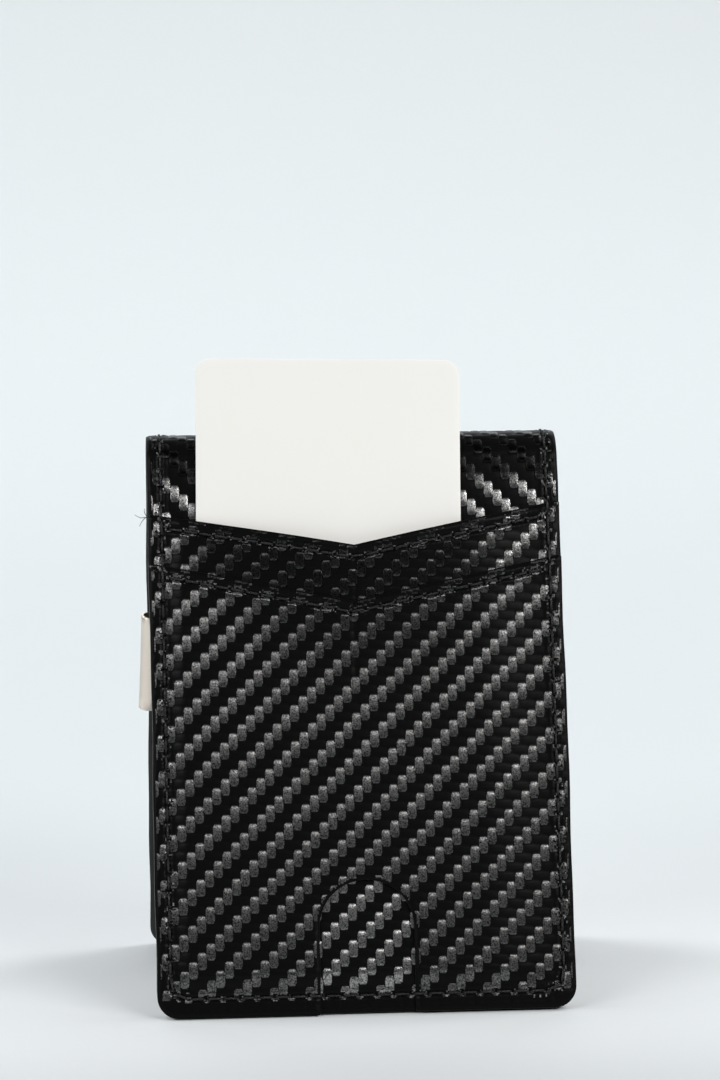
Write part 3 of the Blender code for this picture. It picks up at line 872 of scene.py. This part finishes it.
def build_pockets():
    rows = cell_lines(CELL_S, (-0.3, FINE), (29, 0.75), (78, FINE), (104, 0))
    build_pocket("pocket_upper", pocket_outline(UPPER_EDGE), rows, -POCKET_GAP, UPPER_EDGE, UPPER_SEAM,
                 STRIP_LEATHER, "upper_pocket")
    rows = cell_lines(CELL_S, (-0.6, FINE), (92.5, 0))
    build_pocket("pocket_lower", pocket_outline(LOWER_EDGE, arch=True), rows,
                 -2 * POCKET_GAP - POCKET_THICKNESS, LOWER_EDGE, LOWER_SEAM, PAINTED_SHADE_LEATHER,
                 "lower_pocket")


def lining_near(s):
    """The lining lies on the board, and closer to the cover over the fold."""
    return LINING[0] + (SPINE_LINING_DEPTH - LINING[0]) * smooth(s, TANGENT - 2, TANGENT + 3)


def lining_columns():
    """Fine near the side seams and coarse between them."""
    return graded((-HALF_WIDTH - 1, SEAM_GRID), (-36.5, 0.9), (36.5, SEAM_GRID), (HALF_WIDTH + 1, 0))


def lining_rows(*above):
    """Fine at the foot seam, coarse above it, then as the stops given."""
    return graded((INNER_TRIM - 0.4, SEAM_GRID), (6.5, 1.2), *above)


def build_linings():
    outline = half_outline(FOLD_TOP + 3, foot=INNER_TRIM)
    rows = lining_rows((TANGENT - 4, 0.5), (FOLD_TOP, 0))
    for side, which in ((FRONT, "front"), (REAR, "rear")):
        def place(u, s, height, side=side):
            return cover_point(side, u, s, lining_near(s) + height)
        piece = ply("lining_" + which, outline, lining_columns(), rows, place, LINING[1],
                    plain([PERIMETER]), LINING_LEATHER, rim=LINING_RIM, cut=FOLD_TOP)
        spine = ["spine_lining"] if side == FRONT else []
        finish(piece, replaced=[which + "_lining", *spine])
        fold_bend(piece, side)


def build_inner_pockets():
    for name, side, body, top, (near, thickness), replaced in (
            ("card_slot_upper", FRONT, "front_half", INNER_UPPER_TOP, INNER_UPPER,
             "front_inner_pocket_upper"),
            ("card_slot_lower", FRONT, "front_half", INNER_LOWER_TOP, INNER_LOWER,
             "front_inner_pocket_lower"),
            ("rear_slot", REAR, "rear_half", REAR_POCKET_TOP, INNER_UPPER, "rear_inner_pocket")):
        rows = lining_rows((top - 4, 0.3), (top + 0.6, 0))
        piece = ply(name, half_outline(top, foot=INNER_TRIM), lining_columns(), rows, inside(side, near),
                    thickness, plain([PERIMETER, inner_seam(top)]), LINING_LEATHER, rim=LINING_RIM)
        finish(piece, body, [replaced])


def in_arch(u, s):
    round_part = np.hypot(u - ARCH_X, s - ARCH_SPRING) < ARCH_RADIUS
    return round_part | ((np.abs(u - ARCH_X) < ARCH_RADIUS) & (s < ARCH_SPRING))


def front_surface(u, s):
    """Height of the outermost ply above the front cover's face."""
    ply_step = POCKET_GAP + POCKET_THICKNESS
    on_upper = s < edge_height(UPPER_EDGE, u)
    on_lower = (s < edge_height(LOWER_EDGE, u)) & ~in_arch(u, s)
    return ply_step * on_upper + ply_step * on_lower + pocket_bulge(u, s) * on_upper


def front_inner_surface(u, s):
    """Depth of the innermost ply's face below the front cover's face."""
    depth = lining_near(s) + LINING[1]
    depth = np.where(s < INNER_UPPER_TOP, sum(INNER_UPPER), depth)
    return np.where(s < INNER_LOWER_TOP, sum(INNER_LOWER), depth)


def rear_inner_surface(u, s):
    depth = lining_near(s) + LINING[1]
    return np.where(s < REAR_POCKET_TOP, sum(INNER_UPPER), depth)


def tube_quads(number):
    """The quads between a tube's rings, from the numbers of its points, a row to a ring."""
    turned = np.roll(number, -1, axis=1)
    return np.stack((number[:-1], turned[:-1], turned[1:], number[1:]), -1).reshape(-1, 4)


def stitches(name, run, place, surface, skip=None):
    """Short twisted strands that lie on a surface and dive into their needle holes."""
    sides, stations = 8, 9
    size = stations * sides
    t = np.linspace(0, 1, stations)
    around = np.linspace(0, 2 * pi, sides, endpoint=False)
    points, quads, caps = [], [], []
    for start, end in zip(run, run[1:]):
        if skip and skip(*(start + end) / 2):
            continue
        span = end - start
        across = np.array((-span[1], span[0])) / np.hypot(*span)
        centre = start + (0.07 + 0.86 * t)[:, None] * span
        base = surface(*centre.T)
        base = np.maximum(base, base[0] + (base[-1] - base[0]) * t)
        for _ in range(2):
            base[1:-1] = (base[:-2] + 2 * base[1:-1] + base[2:]) / 4
        base = base - THREAD_SINK + THREAD_ARCH * np.sin(pi * t) ** 0.5
        radius = THREAD_RADIUS * np.sin(pi * (0.10 + 0.80 * t)) ** 0.4
        lobes = 1 + 0.25 * np.cos(2 * (around[None, :] - 9.0 * t[:, None]))
        reach = radius[:, None] * lobes
        flat = centre[:, None, :] + (reach * np.cos(around))[..., None] * across
        height = base[:, None] + reach * np.sin(around)
        first = sum(len(part) for part in points)
        points.append(np.concatenate((flat, height[..., None]), -1).reshape(-1, 3))
        points.append(np.array([(*centre[0], base[0]), (*centre[-1], base[-1])]))
        number = first + np.arange(size).reshape(stations, sides)
        turned = np.roll(number, -1, axis=1)
        quads.append(tube_quads(number))
        caps.append(np.stack((turned[0], number[0], np.full(sides, first + size)), -1))
        caps.append(np.stack((number[-1], turned[-1], np.full(sides, first + size + 1)), -1))
    placed = place(*np.concatenate(points).T)
    faces = [(np.concatenate(quads), 0, True), (np.concatenate(caps), 0, True)]
    return new_object(name, placed, faces, [THREAD])


def build_seams():
    on_front, on_rear = (outside(FRONT, 0.0), front_surface), (outside(REAR, 0.0), bare)
    in_front, in_rear = (inside(FRONT, 0.0), front_inner_surface), (inside(REAR, 0.0), rear_inner_surface)

    def under_clip(u, s):
        return u < 0 and abs(s - CLIP_S) < CLIP_WIDTH / 2 + 2.5

    for name, replaced, side, *laid in (
            ("front_seam", "front_seam_thread", FRONT, *on_front),
            ("rear_seam", "rear_seam_thread", REAR, *on_rear),
            ("front_bobbin_seam", "front_bobbin_thread", FRONT, *in_front),
            ("rear_bobbin_seam", "rear_bobbin_thread", REAR, *in_rear, under_clip)):
        fold_bend(finish(stitches(name, PERIMETER, *laid), replaced=[replaced]), side)

    for name, replaced, body, *laid in (
            ("upper_edge_seam", "upper_edge_thread", "front_half", UPPER_SEAM, *on_front),
            ("lower_edge_seam", "lower_edge_thread", "front_half", LOWER_SEAM, *on_front),
            ("card_slot_upper_seam", "front_inner_pocket_upper_thread", "front_half",
             inner_seam(INNER_UPPER_TOP), *in_front),
            ("card_slot_lower_seam", "front_inner_pocket_lower_thread", "front_half",
             inner_seam(INNER_LOWER_TOP), *in_front),
            ("rear_slot_seam", "rear_inner_pocket_thread", "rear_half",
             inner_seam(REAR_POCKET_TOP), *in_rear)):
        finish(stitches(name, *laid), body, [replaced])


def keeper_rise(u, s):
    """The keeper stands up over the clip's fixed leg and lies flat along its three sewn sides."""
    _, far, half = KEEPER
    low, high = KEEPER_MARGIN - 0.3, KEEPER_MARGIN + KEEPER_RAMP + 0.3
    return KEEPER_RISE * smooth(half - np.abs(s - CLIP_S), low, high) * smooth(far - u, low, high)


def build_keeper():
    near, far, half = KEEPER
    outline = box_outline((near, CLIP_S - half), (far, CLIP_S + half), (0.8, 3.0, 3.0, 0.8))
    margin = KEEPER_MARGIN / 2
    corner = 2.0
    right = far - margin
    low, high = CLIP_S - half + margin, CLIP_S + half - margin
    path = [(near + 1.2, low), *arc((right - corner, low + corner), corner, 270, 360, 5),
            *arc((right - corner, high - corner), corner, 0, 90, 5), (near + 1.2, high)]
    run = resample(path, KEEPER_STITCH)
    columns = np.arange(near - 0.4, far + 0.6, SEAM_GRID)
    rows = np.arange(CLIP_S - half - 0.4, CLIP_S + half + 0.6, SEAM_GRID)
    base = sum(LINING) + 0.1
    piece = ply("keeper", outline, columns, rows, inside(REAR, base), KEEPER_THICKNESS, plain([run]),
                LINING_LEATHER, bulge=keeper_rise, rim=LINING_RIM)
    finish(piece, "rear_half", ["clip_keeper"])

    def surface(u, s):
        return base + KEEPER_THICKNESS + keeper_rise(u, s)

    seam = stitches("keeper_seam", run, inside(REAR, 0.0), surface)
    finish(seam, "rear_half", ["clip_keeper_thread"])


def clip_path():
    """The clip's centre line: along the fixed leg, round the bend and along the free leg, evenly spaced."""
    bend = arc((0.0, 0.0), CLIP_RADIUS, 270, 90, 40)
    path = np.array([(CLIP_BASE, -CLIP_RADIUS), *bend, *CLIP_ARM])
    lengths = lengths_along(path)
    t = np.linspace(0, lengths[-1], 700)
    line = points_at(t, lengths, path)
    arm = t > CLIP_BASE + pi * CLIP_RADIUS + 6
    window = np.hanning(41) / np.hanning(41).sum()
    padded = np.pad(line, ((20, 20), (0, 0)), mode="reflect", reflect_type="odd")
    eased = np.stack([np.convolve(padded[:, axis], window, mode="valid") for axis in (0, 1)], 1)
    line[arm] = eased[arm]
    return t, line


def build_loose_end():
    """A thread end at the left of the upper pocket's edge has frayed into a few fibres."""
    root = (-HALF_WIDTH + 0.45, 100.4, -0.62)
    ends = (((-0.9, 0.35, 0.1), (-2.0, 0.2, 0.2), (-3.1, 0.9, 0.3)),
            ((-0.9, 0.35, 0.1), (-1.7, -0.5, 0.2), (-2.2, -1.5, 0.1)),
            ((-0.8, 0.6, 0.0), (-1.2, 1.5, 0.0), (-1.1, 2.1, 0.1)))
    sides, steps = 5, 12
    around = np.linspace(0, 2 * pi, sides, endpoint=False)[:, None]
    points, quads, caps = [], [], []
    for count, steps_out in enumerate(ends):
        bends = np.array([(0.0, 0.0, 0.0), *steps_out])
        t = np.linspace(0, len(bends) - 1, steps)
        path = points_at(t, range(len(bends)), bends)
        path[1:-1] = (path[:-2] + 2 * path[1:-1] + path[2:]) / 4
        path = path + root
        radius = (0.10 - 0.06 * t / t[-1])[:, None, None]
        ahead = np.gradient(path[:, :2], axis=0)
        ahead /= np.linalg.norm(ahead, axis=1)[:, None]
        across = np.stack((-ahead[:, 1], ahead[:, 0], 0 * t), 1)[:, None]
        ring = path[:, None] + radius * (across * np.cos(around) + np.array((0, 0, 1)) * np.sin(around))
        points.append(ring.reshape(-1, 3))
        number = count * sides * steps + np.arange(sides * steps).reshape(steps, sides)
        quads.append(tube_quads(number))
        caps += [number[:1, ::-1], number[-1:]]
    placed = cover_point(FRONT, *np.concatenate(points).T)
    faces = [(np.concatenate(quads), 0, True), (np.concatenate(caps), 0, False)]
    finish(new_object("loose_thread_end", placed, faces, [THREAD]), "front_half")


def build_clip():
    joint = JOINTS["clip_flex"]
    origin = np.array(joint["pos_m"]) / MM
    z = np.array(joint["axis"])
    y = np.array((0.0, -cos(LEAN), -sin(LEAN)))
    x = np.cross(y, z)
    t, line = clip_path()
    ahead = np.gradient(line, axis=0)
    ahead /= np.linalg.norm(ahead, axis=1)[:, None]

    def place(along, across, height):
        point, facing = points_at(along, t, line), points_at(along, t, ahead)
        offset = height - CLIP_THICKNESS / 2
        point = point + np.stack((facing[:, 1], -facing[:, 0]), 1) * offset[:, None]
        return origin + point[:, :1] * x + point[:, 1:] * y + across[:, None] * z

    half = CLIP_WIDTH / 2
    outline = box_outline((0.0, -half), (t[-1], half), (1.0, 3.0, 3.0, 1.0))
    start = CLIP_BASE - 1.5
    columns = graded((-0.4, 0.8), (start, 0.15), (start + pi * CLIP_RADIUS + 3, 0.8), (t[-1] + 0.4, 0))
    rows = np.arange(-half - 0.4, half + 0.6, 0.5)
    piece = ply("money_clip", outline, columns, rows, place, CLIP_THICKNESS, flat_relief, [NICKEL],
                rim=0.16, bulge=bare)
    finish(piece, replaced=["clip_base", "clip_arm"])
    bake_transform(piece)


def build_card():
    width, height, thickness = CARD_SIZE
    turn_u, turn_v = cos(CARD_TILT), sin(CARD_TILT)

    def place(u, v, lift):
        across = CARD_CENTRE[0] + u * turn_u + v * turn_v
        up = CARD_CENTRE[1] - u * turn_v + v * turn_u
        return panel_point(FRONT, across, up, CARD_BACK - lift)

    outline = box_outline((-width / 2, -height / 2), (width / 2, height / 2), (CARD_CORNER,) * 4)
    columns = np.linspace(-width / 2 - 0.5, width / 2 + 0.5, 60)
    rows = np.linspace(-height / 2 - 0.5, height / 2 + 0.5, 94)
    piece = ply("card", outline, columns, rows, place, thickness, flat_relief, [CARD], rim=0.14)
    finish(piece, "card", ["blank_card"])


def build_sealed_plies():
    for which in ("front", "rear"):
        for part, material in (("board", BOARD), ("rfid_foil", FOIL)):
            node = frame["nodes"][f"{which}_{part}"]
            for slot in node.material_slots:
                slot.material = material


# ---- Studio

CAMERA_TURN = (4.38, 6.43, 0.468)  # yaw, pitch and roll, in degrees
CAMERA_PLACE = (2.786, 751.3, 176.2)  # to the right, back and up
SWEEP_HALF = 3.5  # the backdrop's half width, in metres like its profile
SWEEP_BEND = 1.3


def build_camera():
    """Long lens, a little above and to the left of square on."""
    yaw, pitch, roll = (radians(angle) for angle in CAMERA_TURN)
    shift, reach, height = CAMERA_PLACE
    ahead = np.array((sin(yaw), cos(yaw), 0.0))
    forward = ahead * cos(pitch) - np.array((0.0, 0.0, sin(pitch)))
    right = np.array((cos(yaw), -sin(yaw), 0.0))
    up = np.cross(right, forward)
    across = right * cos(roll) - up * sin(roll)
    upright = right * sin(roll) + up * cos(roll)
    place = shift * right - reach * ahead + np.array((0.0, 0.0, height))
    lens = bpy.data.cameras.new("camera")
    lens.lens = 122.25
    lens.sensor_width = 36.0
    camera = bpy.data.objects.new("camera", lens)
    matrix = Matrix(np.stack((across, upright, -forward), 1).tolist()).to_4x4()
    matrix.translation = Vector(place) * MM
    camera.matrix_world = matrix
    SCENE.collection.objects.link(camera)
    SCENE.camera = camera


def softbox(name, place, size, power, colour=(1.0, 1.0, 1.0), target=(0.0, 0.0, 0.06)):
    """A rectangular light, in metres and watts, that faces its target."""
    data = bpy.data.lights.new(name, "AREA")
    data.shape = "RECTANGLE"
    data.size, data.size_y = size
    data.energy = power
    data.color = colour
    lamp = bpy.data.objects.new(name, data)
    lamp.location = place
    lamp.rotation_euler = (Vector(target) - Vector(place)).to_track_quat("-Z", "Y").to_euler()
    SCENE.collection.objects.link(lamp)


def backdrop_paper():
    """Pale paper with painted light and shade in three steps from the front of the floor to the wall."""
    paper = Shader("backdrop_paper")
    place = paper.place()
    back = paper.split(place)[1]
    shade = (0.55, 0.572, 0.586, 1)
    # Painted light and shade: darker at the front, brightest in a band by the wallet's foot, darker behind it and
    # lighter again on the wall.
    for start, end, colour in ((-120.0, 0.0, (0.785, 0.81, 0.825, 1)),
                               (-20.0, 150.0, (0.675, 0.71, 0.726, 1)),
                               (500.0, 1300.0, (0.735, 0.772, 0.785, 1))):
        shade = paper.mix(paper.smooth(back, start, end), shade, colour)
    tooth = paper.blend(paper.noise(place, 0.4, 3.0), 0.99, 1.01)
    return paper.set(Base_Color=paper.dim(shade, tooth), Roughness=0.85, Specular_IOR_Level=0.2).material


def build_studio():
    """A pale floor that sweeps up into a pale backdrop, a soft key from each side in front, two overhead
    softboxes at the sides, a weak one from behind and one on the backdrop."""
    bend = [(0.8 + SWEEP_BEND * sin(a), SWEEP_BEND - SWEEP_BEND * cos(a))
            for a in np.linspace(0.0, pi / 2, 40)]
    sweep = [(-SWEEP_HALF, 0.0), (0.6, 0.0), *bend, (2.1, 3.0)]
    points = np.array([(x, y, z) for y, z in sweep for x in (-SWEEP_HALF, SWEEP_HALF)]) / MM
    rows = np.arange(len(sweep) - 1)[:, None] * 2
    quads = rows + np.array((0, 1, 3, 2))
    new_object("backdrop", points, [(quads, 0, True)], [backdrop_paper()])
    softbox("key", (0.86, -0.98, 0.76), (1.0, 0.26), 13, (1.0, 0.99, 0.97))
    softbox("fill", (-1.0, -0.88, 0.76), (0.9, 0.26), 9.5, (0.98, 0.99, 1.0))
    for side, name in ((1, "right_side"), (-1, "left_side")):
        softbox(name, (1.2 * side, 0.35, 1.3), (0.7, 1.2), 13, target=(0.0, 0.0, 0.0))
    softbox("rim", (0.0, 1.05, 1.0), (1.6, 0.3), 4, (0.94, 0.98, 1.0))
    softbox("backdrop", (0.0, 1.2, 1.6), (2.4, 0.5), 13, target=(0.0, 2.6, 0.8))
    world = bpy.data.worlds.new("studio")
    world.use_nodes = True
    sky = world.node_tree.nodes["Background"].inputs
    sky["Color"].default_value = (0.80, 0.88, 0.92, 1.0)
    sky["Strength"].default_value = 0.10
    SCENE.world = world
    SCENE.view_settings.view_transform = "Standard"


build_camera()
build_studio()
build_cover()
build_pockets()
build_linings()
build_inner_pockets()
build_seams()
build_loose_end()
build_keeper()
build_clip()
build_card()
build_sealed_plies()
